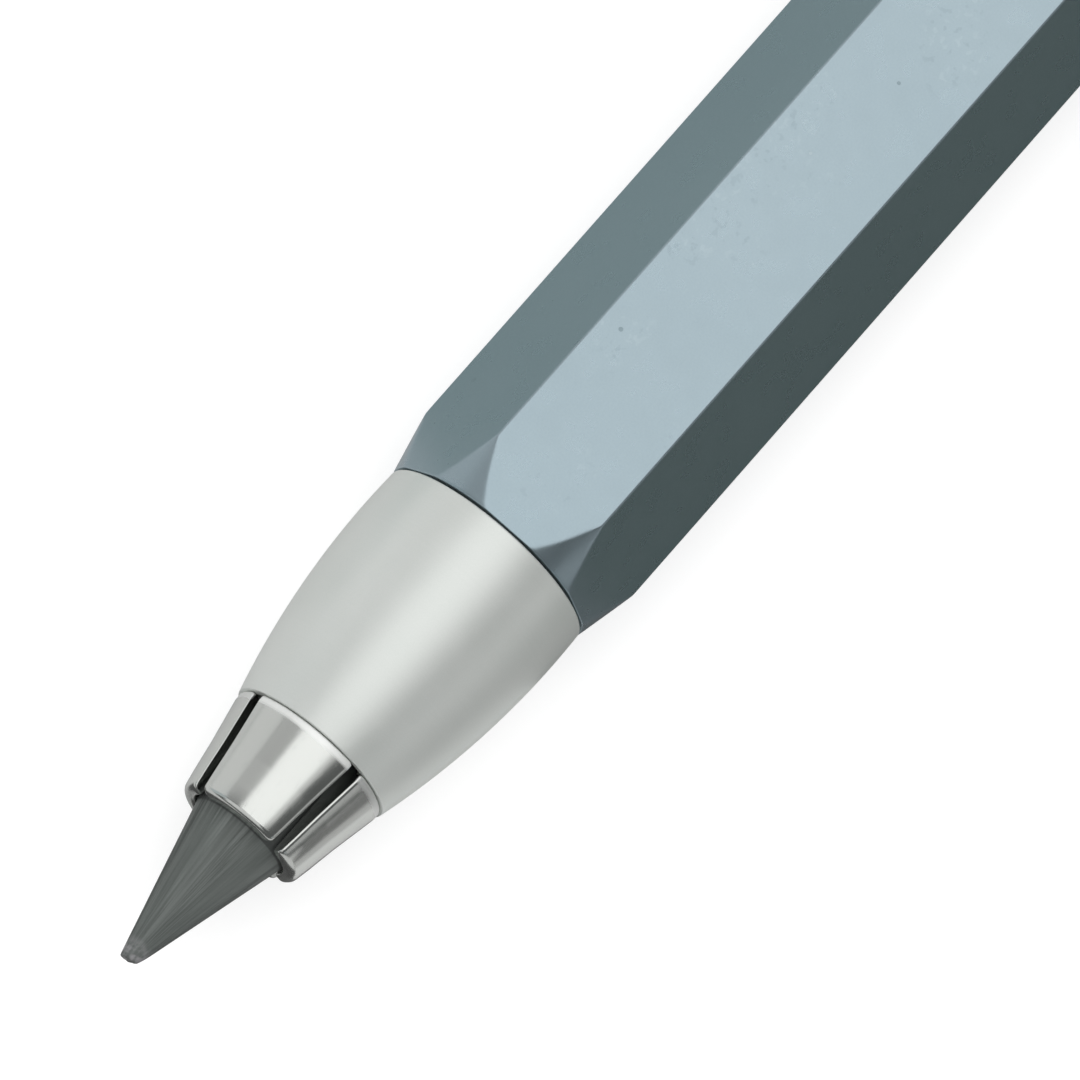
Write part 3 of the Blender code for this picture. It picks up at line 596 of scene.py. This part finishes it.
def make_nose():
    front, spigot_end = ends("nose_cone")
    belly_radius = outer_radius("nose_cone")
    rise = (belly_radius - NOSE_LIP_RADIUS) / (NOSE_BELLY - front) ** 2

    def side(station):
        return belly_radius - rise * (station - NOSE_BELLY) ** 2

    flank = np.linspace(NOSE_SHOULDER - 0.14, front + NOSE_LIP_EDGE, 61)
    spigot = THREAD_RADIUS - 0.05
    outline = filleted(
        [
            (spigot_end, NOSE_BORE[1], 0.1),
            (spigot_end, spigot, 0.1),
            (NOSE_SHOULDER, spigot),
            (NOSE_SHOULDER, side(NOSE_SHOULDER), 0.1),
            *[(x, side(x)) for x in flank],
            (front, NOSE_LIP_RADIUS, NOSE_LIP_EDGE),
            (front, NOSE_MOUTH_RADIUS, NOSE_LIP_EDGE),
            NOSE_SEAT_END,
            NOSE_BORE,
        ]
    )
    turned("nose_shell", outline, SATIN, "housing", ["nose_cone"], sides=256)


# ---------------------------------------------------------------- collet


TOP_JAW_TURN = math.radians(14.2)
HALF_SLIT = 0.37
EDGE_WIDTH, EDGE_DEPTH = 0.3, 0.12  # the rounding of a jaw's edges along its outer side and down the slit
EDGE_STEPS = 8
SHOULDER_GAP = 0.03  # between the jaws and the nose cone while the plunger is back
SHOULDER_RADIUS = 4.57
SHOULDER_BACK_RADIUS = 4.14  # behind the shoulder, where the part that closes on the seat begins
STEM_RADIUS, STEM_BORE_RADIUS = 3.55, 3.05
GRIP_BORE_RADIUS = 2.86  # where the jaws hold the lead
JAW_SWEEP_STEPS = 44


def jaw_outline():
    """Half section of a jaw, from its root along the outer side to its front and back along the bore."""
    front, root = ends("collet_jaw_1")
    shoulder = ends("nose_cone")[0] - SHOULDER_GAP
    flank = [
        (shoulder - 0.4, SHOULDER_RADIUS - 0.01, 1.0),
        (front + 2.7, 4.06, 6.0),
        (front + 1.15, 3.80, 3.0),
        (front, 3.58, 0.42),
    ]
    return filleted(
        [
            (root, STEM_RADIUS, 0.16),
            (front + 8.2, STEM_RADIUS, 0.4),
            (shoulder, SHOULDER_BACK_RADIUS),
            (shoulder, SHOULDER_RADIUS, 0.14),
            *flank,
            (front, GRIP_BORE_RADIUS, 0.18),
            (front + 5.2, GRIP_BORE_RADIUS),
            (shoulder + 0.3, STEM_BORE_RADIUS),
            (root, STEM_BORE_RADIUS, 0.16),
        ],
        steps=8,
    )


def jaw_rows():
    """For each row of a jaw's grid: its share of the way across, its edge's distance from the slit's
    middle, and how far its outline is inset."""
    edge = []
    for i in range(EDGE_STEPS + 1):
        angle = math.pi / 2 * i / EDGE_STEPS
        from_wall = EDGE_WIDTH * (1 - math.cos(angle))
        edge.append((HALF_SLIT + from_wall, EDGE_DEPTH * (1 - math.sin(angle))))
    rows = [(-1.0, wall, shrink) for wall, shrink in edge]
    for i in range(1, JAW_SWEEP_STEPS):
        rows.append((-1 + 2 * i / JAW_SWEEP_STEPS, HALF_SLIT + EDGE_WIDTH, 0.0))
    return rows + [(1.0, wall, shrink) for wall, shrink in reversed(edge)]


def make_jaw(number):
    """A quarter of the collet between two slits with parallel walls, its edges rounded."""
    turn = TOP_JAW_TURN + (number - 1) * TAU / 4
    outline = jaw_outline()
    rows = jaw_rows()
    points = []
    for share, wall, shrink in rows:
        for station, radius in inset(outline, shrink) if shrink else outline:
            angle = turn + share * (math.pi / 4 - math.asin(wall / radius))
            points.append((station, radius * math.sin(angle), radius * math.cos(angle)))
    columns = len(outline)
    faces = grid_faces(len(rows), columns, False, True)
    faces.append(tuple(range(columns)))
    faces.append(tuple(range((len(rows) - 1) * columns, len(rows) * columns)))
    node = f"collet_jaw_{number}"
    # The top jaw gets the brighter copy of the painted highlight.
    plate = TOP_JAW_BRIGHT_HIGHLIGHT_CHROME if number == 1 else SIDE_JAW_FAINT_HIGHLIGHT_CHROME
    piece(f"{node}_shell", points, faces, plate, f"jaw_{number}", [node])


# ---------------------------------------------------------------- lead


def make_lead():
    """The lead, cut to a point that starts just inside the jaws, its tip blunted and slanted by wear."""
    tip, rear = ends("lead")
    radius = outer_radius("lead")
    tip_radius = 0.49
    steps = 90
    cone = []
    for i in range(1, steps + 1):
        share = i / steps
        cone.append((LEAD_CUT + (tip + 0.2 - LEAD_CUT) * share, radius + (tip_radius - radius) * share))
    outline = [
        (rear, 0.0),
        *filleted([(rear, 0.01), (rear, radius, 0.2), (LEAD_CUT, radius)], closed=False),
        *cone,
        (tip + 0.11, tip_radius - 0.035),
        (tip + 0.04, tip_radius - 0.12),
        (tip, tip_radius - 0.26),
        (tip, 0.12),
        (tip, 0.0),
    ]

    def cut_by_blade(station, r, angle):
        """Grooves along the cone, which fade in from its wide end, and a tip chipped and blunted by wear."""
        if station > LEAD_CUT or r < 0.02:
            return station, r
        cos, sin = math.cos(angle), math.sin(angle)
        fade = min(1.0, LEAD_CUT - station)
        spot = Vector((cos * 9.0, sin * 9.0, station * 0.10))
        ridge = noise(spot) + 0.6 * noise(spot * 2.7)
        made = r * (1 - 0.004 * fade) + min(0.0, ridge) * 0.022 * fade * min(1.0, r / 0.8)
        near_tip = max(0.0, 1.0 - (station - tip) / 1.2) ** 2
        slant = 0.12 * near_tip * (1.0 - sin * min(1.0, made / tip_radius))
        chip = 0.05 * near_tip * (1.0 + noise(Vector((cos * 2.0, sin * 2.0, r * 5.0))))
        return station + slant + chip, made

    solid_turned("lead_stick", outline, GRAPHITE, "lead", ["lead"], 220, cut_by_blade)


# ---------------------------------------------------------------- rear collar, clip and button


def make_end_collar():
    """A collar with a decorative groove round its flange."""
    front, rear = ends("end_collar")
    radius = outer_radius("end_collar")
    bore = inner_radius("end_collar")
    flange = ends("clip_ring")[1] + 0.05
    thread = THREAD_RADIUS - 0.05
    groove_bottom = radius - 0.18
    groove_front, groove_rear = rear - 0.98, rear - 0.8
    outline = filleted(
        [
            (rear, bore, 0.12),
            (rear, radius - 0.1, 0.3),
            (groove_rear + 0.05, radius, 0.1),
            (groove_rear, groove_bottom, 0.03),
            (groove_front, groove_bottom, 0.03),
            (groove_front - 0.05, radius, 0.08),
            (flange, radius, 0.2),
            (flange, thread, 0.05),
            (front, thread, 0.15),
            (front, bore, 0.1),
        ]
    )
    turned("end_collar_shell", outline, CHROME, "housing", ["end_collar"])


BUTTON_NECK_RADIUS = 4.3
BUTTON_GRIP_LENGTH = 8.0  # the thick, knurled rear of the button
BUTTON_SEAT_DEPTH = 1.0  # of the recess that the cap is pressed into
KNURL_TEETH = 44
KNURL_DEPTH = 0.16
KNURL_FADE = 0.25  # length over which the knurl runs out


def make_button():
    """A sleeve whose neck slides in the end collar, with a diamond knurl round its grip."""
    front, rear = ends("push_button")
    bore = inner_radius("push_button")
    radius = outer_radius("push_button")
    grip, seat = rear - BUTTON_GRIP_LENGTH, rear - BUTTON_SEAT_DEPTH
    knurl_front, knurl_rear = grip + 0.9, rear - 1.4
    outline = filleted(
        [
            (rear, BUTTON_NECK_RADIUS, 0.1),
            (rear, radius, 0.4),
            *[(x, radius) for x in np.linspace(knurl_rear, knurl_front, 91)],
            (grip, radius, 0.4),
            (grip, BUTTON_NECK_RADIUS, 0.15),
            (front, BUTTON_NECK_RADIUS, 0.2),
            (front, bore, 0.1),
            (seat, bore),
            (seat, BUTTON_NECK_RADIUS),
        ]
    )
    pitch = TAU * radius / KNURL_TEETH

    def diamond(station, r, angle):
        """Cuts two crossing sets of slanted grooves."""
        if r < radius - 1e-6 or not knurl_front <= station <= knurl_rear:
            return station, r
        fade = min(1.0, (station - knurl_front) / KNURL_FADE, (knurl_rear - station) / KNURL_FADE)
        around, along = angle * KNURL_TEETH / TAU, station / pitch
        one = abs((around + along) % 1.0 - 0.5) * 2
        other = abs((around - along) % 1.0 - 0.5) * 2
        return station, r - KNURL_DEPTH * fade * max(1 - one * 1.6, 1 - other * 1.6, 0.0)

    turned("push_button_shell", outline, SATIN, "button", ["push_button"], 440, diamond)


def make_cap():
    """A domed plug with a fine ring cut into its dome."""
    front, rear = ends("button_cap")
    radius = outer_radius("button_cap")
    edge = rear - 0.7
    groove_depth, groove_place, groove_width = 0.05, 0.62, 0.05
    dome = []
    for share in np.linspace(0.0, 1.0, 40):
        lift = math.cos(math.pi / 2 * share)
        groove = groove_depth * max(0.0, 1 - abs(share - groove_place) / groove_width)
        dome.append((edge + (rear - edge) * lift - groove, radius * math.sin(math.pi / 2 * share)))
    outline = [*dome, *filleted([(edge, radius), (front, radius, 0.1), (front, 0.01)], closed=False)]
    outline.append((front, 0.0))
    solid_turned("button_cap_shell", outline, SATIN, "button", ["button_cap"])


# ---------------------------------------------------------------- clip


CLIP_EDGE = 0.1  # rounding of the strip's edges
CLIP_TOP = (9.035, 0.9)  # height of the bend above the axis, and its radius
CLIP_DIP = (51.05, 7.13, 5.0)  # where the arm turns down towards the barrel, and the radius it turns on
CLIP_TOUCH = (47.66, 5.76, 4.6)  # where it comes nearest to the barrel and turns up
CLIP_TIP = (45.57, 7.395)
CLIP_RING_RADIUS = 5.9
CLIP_HALF_WIDTHS = 2.3, 1.7  # of the arm, at its root and its tip
CLIP_TAPER_START = 8.0


def clip_path(plate):
    """The strip's middle line from the side: up from under the axis, over the bend, to the raised tip."""
    corners = [(plate, -7.0), (plate, *CLIP_TOP), CLIP_DIP, CLIP_TOUCH, CLIP_TIP]
    return np.array(filleted(corners, closed=False, steps=24))


def arc(radius, start, end, steps, rise=0.0):
    """Points round (0, rise), at angles from straight up, both ends included."""
    angles = [start + (end - start) * i / steps for i in range(steps + 1)]
    return [(radius * math.sin(angle), radius * math.cos(angle) + rise) for angle in angles]


def clip_pattern(length):
    """The strip cut out flat: across it, and along it from the holder's axis."""
    root_half, tip_half = CLIP_HALF_WIDTHS
    start = math.asin(root_half / CLIP_RING_RADIUS)
    ring = arc(CLIP_RING_RADIUS, start, TAU - start, 96)
    tip = arc(tip_half, -math.pi / 2, math.pi / 2, 24, rise=length - tip_half)
    hole = arc(THREAD_RADIUS, 0.0, TAU, 96)[:-1]
    return [*ring, (-root_half, CLIP_TAPER_START), *tip, (root_half, CLIP_TAPER_START)], hole


def make_clip():
    """The flat ring and the arm are one strip, bent up and over. It is one rigid piece; the flex where the
    arm leaves the ring is not modelled.
    """
    low, high = ends("clip_ring")
    plate, thickness = (low + high) / 2, high - low
    path = clip_path(plate)
    run = np.concatenate([[0.0], np.cumsum(np.hypot(*np.diff(path, axis=0).T))]) + path[0][1]
    outline, hole = clip_pattern(run[-1])
    flat = bpy.data.curves.new("clip_pattern", "CURVE")
    flat.dimensions = "2D"
    flat.fill_mode = "BOTH"
    flat.extrude = (thickness / 2 - CLIP_EDGE) * MM
    flat.bevel_depth = CLIP_EDGE * MM
    flat.bevel_resolution = 3
    flat.offset = -CLIP_EDGE * MM
    for ring in (outline, hole):
        spline = flat.splines.new("POLY")
        spline.points.add(len(ring) - 1)
        for point, (across, along) in zip(spline.points, ring):
            point.co = (across * MM, along * MM, 0.0, 1.0)
        spline.use_cyclic_u = True
    pattern = bpy.data.objects.new("clip_pattern", flat)
    bpy.context.scene.collection.objects.link(pattern)
    bpy.context.view_layer.update()
    graph = bpy.context.evaluated_depsgraph_get()
    mesh = bpy.data.meshes.new_from_object(pattern.evaluated_get(graph))
    bpy.data.objects.remove(pattern)

    shape = bmesh.new()
    shape.from_mesh(mesh)
    bmesh.ops.remove_doubles(shape, verts=shape.verts, dist=1e-7)
    for place in run[1:-1]:
        everything = [*shape.verts, *shape.edges, *shape.faces]
        bmesh.ops.bisect_plane(
            shape, geom=everything, dist=1e-8, plane_co=(0, place * MM, 0), plane_no=(0, 1, 0)
        )
    shape.verts.index_update()

    def on_path(along):
        return np.array([np.interp(along, run, path[:, 0]), np.interp(along, run, path[:, 1])])

    points = []
    for vertex in shape.verts:
        across, along, out = (c / MM for c in vertex.co)
        x, z = on_path(along)
        way = on_path(along + 0.02) - on_path(along - 0.02)
        way = way / np.linalg.norm(way)
        points.append((x + way[1] * out, across, z - way[0] * out))
    faces = [tuple(v.index for v in face.verts) for face in shape.faces]
    shape.free()
    clip = piece("clip_strip", points, faces, CHROME, None, ["clip_ring", "clip_arm"])
    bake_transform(clip)


# ---------------------------------------------------------------- inner pieces


SHANK_RADIUS = 3.3  # of the collet's rear end, which is pressed into the tube
SHANK_START = 4.0  # from the sleeve's front
CIRCLIP_GROOVE_DEPTH = 0.3
CIRCLIP_GROOVE_PLAY = 0.05  # on each side of the circlip


def make_tube():
    front, rear = ends("lead_tube")
    outer, bore = outer_radius("lead_tube"), inner_radius("lead_tube")
    clip_front, clip_rear = ends("collar_circlip")
    groove_front, groove_rear = clip_front - CIRCLIP_GROOVE_PLAY, clip_rear + CIRCLIP_GROOVE_PLAY
    groove_radius = outer - CIRCLIP_GROOVE_DEPTH
    socket_radius = outer - 0.45
    socket_end = ends("collet_sleeve")[1] + 0.1
    outline = filleted(
        [
            (rear, outer - 0.3, 0.05),
            (rear - 0.3, outer, 0.1),
            (groove_rear, outer, 0.03),
            (groove_rear, groove_radius, 0.03),
            (groove_front, groove_radius, 0.03),
            (groove_front, outer, 0.03),
            (front, outer, 0.1),
            (front, socket_radius, 0.05),
            (socket_end, socket_radius),
            (socket_end, bore),
            (rear, bore, 0.12),
        ]
    )
    turned("lead_tube_fine", outline, BRASS, "plunger", ["lead_tube"])


def make_sleeve():
    front, rear = ends("collet_sleeve")
    outer, bore = outer_radius("lead_tube"), inner_radius("lead_tube")
    shank = front + SHANK_START
    outline = filleted(
        [
            (rear, SHANK_RADIUS, 0.06),
            (shank, SHANK_RADIUS, 0.05),
            (shank, outer, 0.06),
            (front, outer, 0.15),
            (front, bore, 0.1),
            (rear, bore, 0.06),
        ]
    )
    turned("collet_sleeve_fine", outline, CHROME, "plunger", ["collet_sleeve"])


def ring_outline(node, edge):
    """Section of a plain ring that is as large as the CAD node, its corners rounded."""
    front, rear = ends(node)
    outer, bore = outer_radius(node), inner_radius(node)
    return filleted([(rear, bore, edge), (rear, outer, edge), (front, outer, edge), (front, bore, edge)])


CIRCLIP_OPENING = 3.2
CIRCLIP_MIDDLE_RADIUS = 3.98


def make_bearings():
    """The spring's two bearings, and the open ring that holds the rear one on the tube."""
    washer = ring_outline("spring_washer", 0.08)
    turned("spring_washer_fine", washer, STEEL, "housing", ["spring_washer"])
    collar = ring_outline("spring_collar", 0.15)
    turned("spring_collar_fine", collar, BRASS, "plunger", ["spring_collar"])
    half_opening = math.asin(CIRCLIP_OPENING / 2 / CIRCLIP_MIDDLE_RADIUS)
    start, end = math.pi + half_opening, 3 * math.pi - half_opening
    circlip = ring_outline("collar_circlip", 0.07)
    node = "collar_circlip"
    part_turned(f"{node}_fine", circlip, start, end, STEEL, "plunger", [node])


def make_spring():
    """Nine turns of round wire, the ends closed. Its length is fixed here; it doesn't shorten as the plunger
    goes forward.
    """
    front, rear = ends("spring")
    wire = 0.3  # its radius
    radius = outer_radius("spring") - wire
    turns, closed = 9.0, 1.25
    per_turn, around = 40, 12
    closed_rise = 2 * wire * 1.04
    free_rise = (rear - front - 2 * wire - 2 * closed * closed_rise) / (turns - 2 * closed)

    def centre(turn):
        at_ends = min(turn, closed) + max(turn - turns + closed, 0.0)
        free = min(max(turn - closed, 0.0), turns - 2 * closed)
        x = front + wire + at_ends * closed_rise + free * free_rise
        return np.array((x, radius * math.cos(TAU * turn), radius * math.sin(TAU * turn)))

    points = []
    rows = int(turns * per_turn) + 1
    for i in range(rows):
        turn = i / per_turn
        middle = centre(turn)
        outward = np.array((0.0, math.cos(TAU * turn), math.sin(TAU * turn)))
        way = centre(min(turn + 0.01, turns)) - centre(max(turn - 0.01, 0.0))
        side = np.cross(way / np.linalg.norm(way), outward)
        for k in range(around):
            angle = TAU * k / around
            points.append(tuple(middle + wire * (math.cos(angle) * outward + math.sin(angle) * side)))
    faces = grid_faces(rows, around, False, True)
    faces.append(tuple(range(around)))
    faces.append(tuple(range((rows - 1) * around, rows * around)))
    spring = piece("spring_fine", points, faces, STEEL, "housing", ["spring"])
    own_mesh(spring)


def make_sharpener():
    """The sharpener's own shapes are the CAD's, with their edges broken."""
    for node, material, slot in (
        ("sharpener_body", BRASS, "brass"),
        ("sharpener_blade", STEEL, "spring_steel"),
        ("blade_screw", STEEL, "spring_steel"),
    ):
        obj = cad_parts[node]
        obj.data.materials.clear()
        obj.data.materials.append(material)
        weld = obj.modifiers.new("Join", "WELD")
        weld.merge_threshold = 1e-7
        bevel = obj.modifiers.new("Break edges", "BEVEL")
        bevel.width = 0.03 * MM
        bevel.segments = 2
        bevel.limit_method = "ANGLE"
        bevel.angle_limit = math.radians(30)


# ---------------------------------------------------------------- stage


TILT = math.radians(15.2)  # the tip is nearer the camera than the rear
ROLL = math.radians(48.65)  # the axis runs up to the right
DISTANCE = 1.0
PIXELS_PER_MM = 20.0
IMAGE_SIZE = 1080
LOOKS_AT = (2.08, -1.58)  # station and sideways place of the middle of the picture


def make_camera():
    along = Vector((math.cos(TILT), 0.0, math.sin(TILT)))
    across = Vector((0.0, 1.0, 0.0))
    towards = Vector((-math.sin(TILT), 0.0, math.cos(TILT)))
    right = along * math.cos(ROLL) - across * math.sin(ROLL)
    up = along * math.sin(ROLL) + across * math.cos(ROLL)
    data = bpy.data.cameras.new("camera")
    camera = bpy.data.objects.new("camera", data)
    bpy.context.scene.collection.objects.link(camera)
    target = ORIGIN + Vector((LOOKS_AT[0], LOOKS_AT[1], 0.0)) * MM
    turn = Matrix((right, up, towards)).transposed().to_4x4()
    camera.matrix_world = Matrix.Translation(target + towards * DISTANCE) @ turn
    field = IMAGE_SIZE / PIXELS_PER_MM * MM
    data.lens = data.sensor_width * DISTANCE / field
    data.clip_start, data.clip_end = 0.01, 10.0
    bpy.context.scene.camera = camera


def area_light(name, radiance, size, place, target):
    """A soft box that looks as bright as radiance, its first side along X. All in metres."""
    data = bpy.data.lights.new(name, "AREA")
    data.shape = "RECTANGLE"
    data.size, data.size_y = size
    data.energy = radiance * math.pi * size[0] * size[1]
    light = bpy.data.objects.new(name, data)
    bpy.context.scene.collection.objects.link(light)
    towards = (Vector(place) - Vector(target)).normalized()
    along = Vector((1.0, 0.0, 0.0))
    across = towards.cross(along).normalized()
    along = across.cross(towards)
    turn = Matrix((along, across, towards)).transposed().to_4x4()
    light.matrix_world = Matrix.Translation(place) @ turn
    light.visible_camera = False
    return light


def level_card(name, low, high, height, colour):
    """A flat matt card between two corners, at a height on or just off the floor, all in metres."""
    mesh = bpy.data.meshes.new(name)
    corners = [(low[0], low[1]), (high[0], low[1]), (high[0], high[1]), (low[0], high[1])]
    mesh.from_pydata([(x, y, height) for x, y in corners], [], [(0, 1, 2, 3)])
    card = bpy.data.objects.new(name, mesh)
    bpy.context.scene.collection.objects.link(card)
    paper = Shading(name, colour, 0.0, 0.9)
    paper.give(paper.shader, "Specular IOR Level", 0.1)
    mesh.materials.append(paper.material)
    return card


def grey(level):
    return (level, level, level)


def make_floor():
    """A white floor, lit from below too so that shadows stay faint. Reflections don't see it."""
    floor = level_card("floor", (-3, -3), (3, 3), 0.0, grey(0.42))
    floor.visible_glossy = False
    paper = floor.active_material.node_tree.nodes["Principled BSDF"]
    paper.inputs["Emission Color"].default_value = (1.0, 1.0, 1.0, 1.0)
    paper.inputs["Emission Strength"].default_value = 0.62


def make_cards():
    """Cards on the floor that only reflections see, under the barrel, the nose cone and the collet: a
    painted reflection of the floor in set greys. The dark ones on the right and under the lead are painted
    shade, standing in for the shadow on the floor.
    """
    for card in (
        level_card("left_card", (-3, 0), (3, 3), 0.00002, (0.228, 0.265, 0.26)),
        # Painted shade: the dark cards darken what reflections see on the right and under the lead, as the
        # pen's shadow on the floor would.
        level_card("right_shade_card", (-3, -3), (3, 0), 0.00002, (0.066, 0.08, 0.072)),
        level_card("front_card", (-3, -0.5), (-0.0575, 0.5), 0.00004, grey(0.4)),
        level_card("lead_shade_card", (-0.2, -0.013), (-0.0575, 0.013), 0.00006, grey(0.06)),
        level_card("left_nose_card", (-0.0575, 0), (-0.031, 0.5), 0.00004, grey(0.40)),
        level_card("right_nose_shade_card", (-0.0575, -0.5), (-0.031, 0), 0.00004, grey(0.12)),
        level_card("collet_far_card", (-0.0570, -0.026), (-0.038, -0.015), 0.00006, grey(0.32)),
        level_card("collet_card", (-0.0570, -0.015), (-0.038, -0.006), 0.00006, grey(0.48)),
    ):
        card.visible_camera = False
        card.visible_diffuse = False
        card.visible_shadow = False


def make_lights():
    """Soft boxes overhead, in front and at the sides. The side ones are dimmer past the tip."""
    area_light("overhead", 0.92, (1.31, 0.70), (0.295, 0.0425, 0.8), (0.295, 0.0425, 0.0))
    area_light("overhead_right", 0.5, (1.2, 0.13), (0.35, -0.3725, 0.8), (0.35, -0.3725, 0.0))
    area_light("front_light", 0.5, (0.72, 1.2), (-0.713, 0.25, 0.70), (0.0, 0.0, 0.0))
    area_light("overhead_left", 0.36, (1.21, 0.45), (0.385, 0.585, 0.69), (0.345, 0.0, 0.0))
    area_light("left_wall", 0.50, (1.5, 0.63), (0.5, 0.9, 0.32), (0.5, 0.0, 0.32))
    area_light("right_strip", 0.30, (1.5, 0.42), (0.5, -0.9, 0.30), (0.45, 0.0, 0.0))
    left_end = area_light("left_wall_end", 0.34, (0.5, 0.63), (-0.5, 0.9, 0.32), (-0.5, 0.0, 0.32))
    right_end = area_light("right_strip_end", 0.20, (0.5, 0.42), (-0.5, -0.9, 0.30), (-0.55, 0.0, 0.0))
    for light in (left_end, right_end):
        light.data.color = (0.86, 0.97, 1.0)
    fill = area_light("floor_fill", 1.15, (3.0, 3.0), (0.0, 0.0, 1.0), (0.0, 0.0, 0.0))
    fill.visible_glossy = False


def make_world():
    world = bpy.data.worlds.new("studio")
    bpy.context.scene.world = world
    world.use_nodes = True
    background = world.node_tree.nodes["Background"]
    background.inputs["Color"].default_value = (0.97, 1.0, 1.0, 1.0)
    background.inputs["Strength"].default_value = 0.09


make_camera()
make_barrel()
make_nose()
for jaw_number in range(1, 5):
    make_jaw(jaw_number)
make_lead()
make_end_collar()
make_button()
make_cap()
make_clip()
make_tube()
make_sleeve()
make_bearings()
make_spring()
make_sharpener()
make_floor()
make_cards()
make_lights()
make_world()
bpy.context.scene.view_settings.view_transform = "Standard"
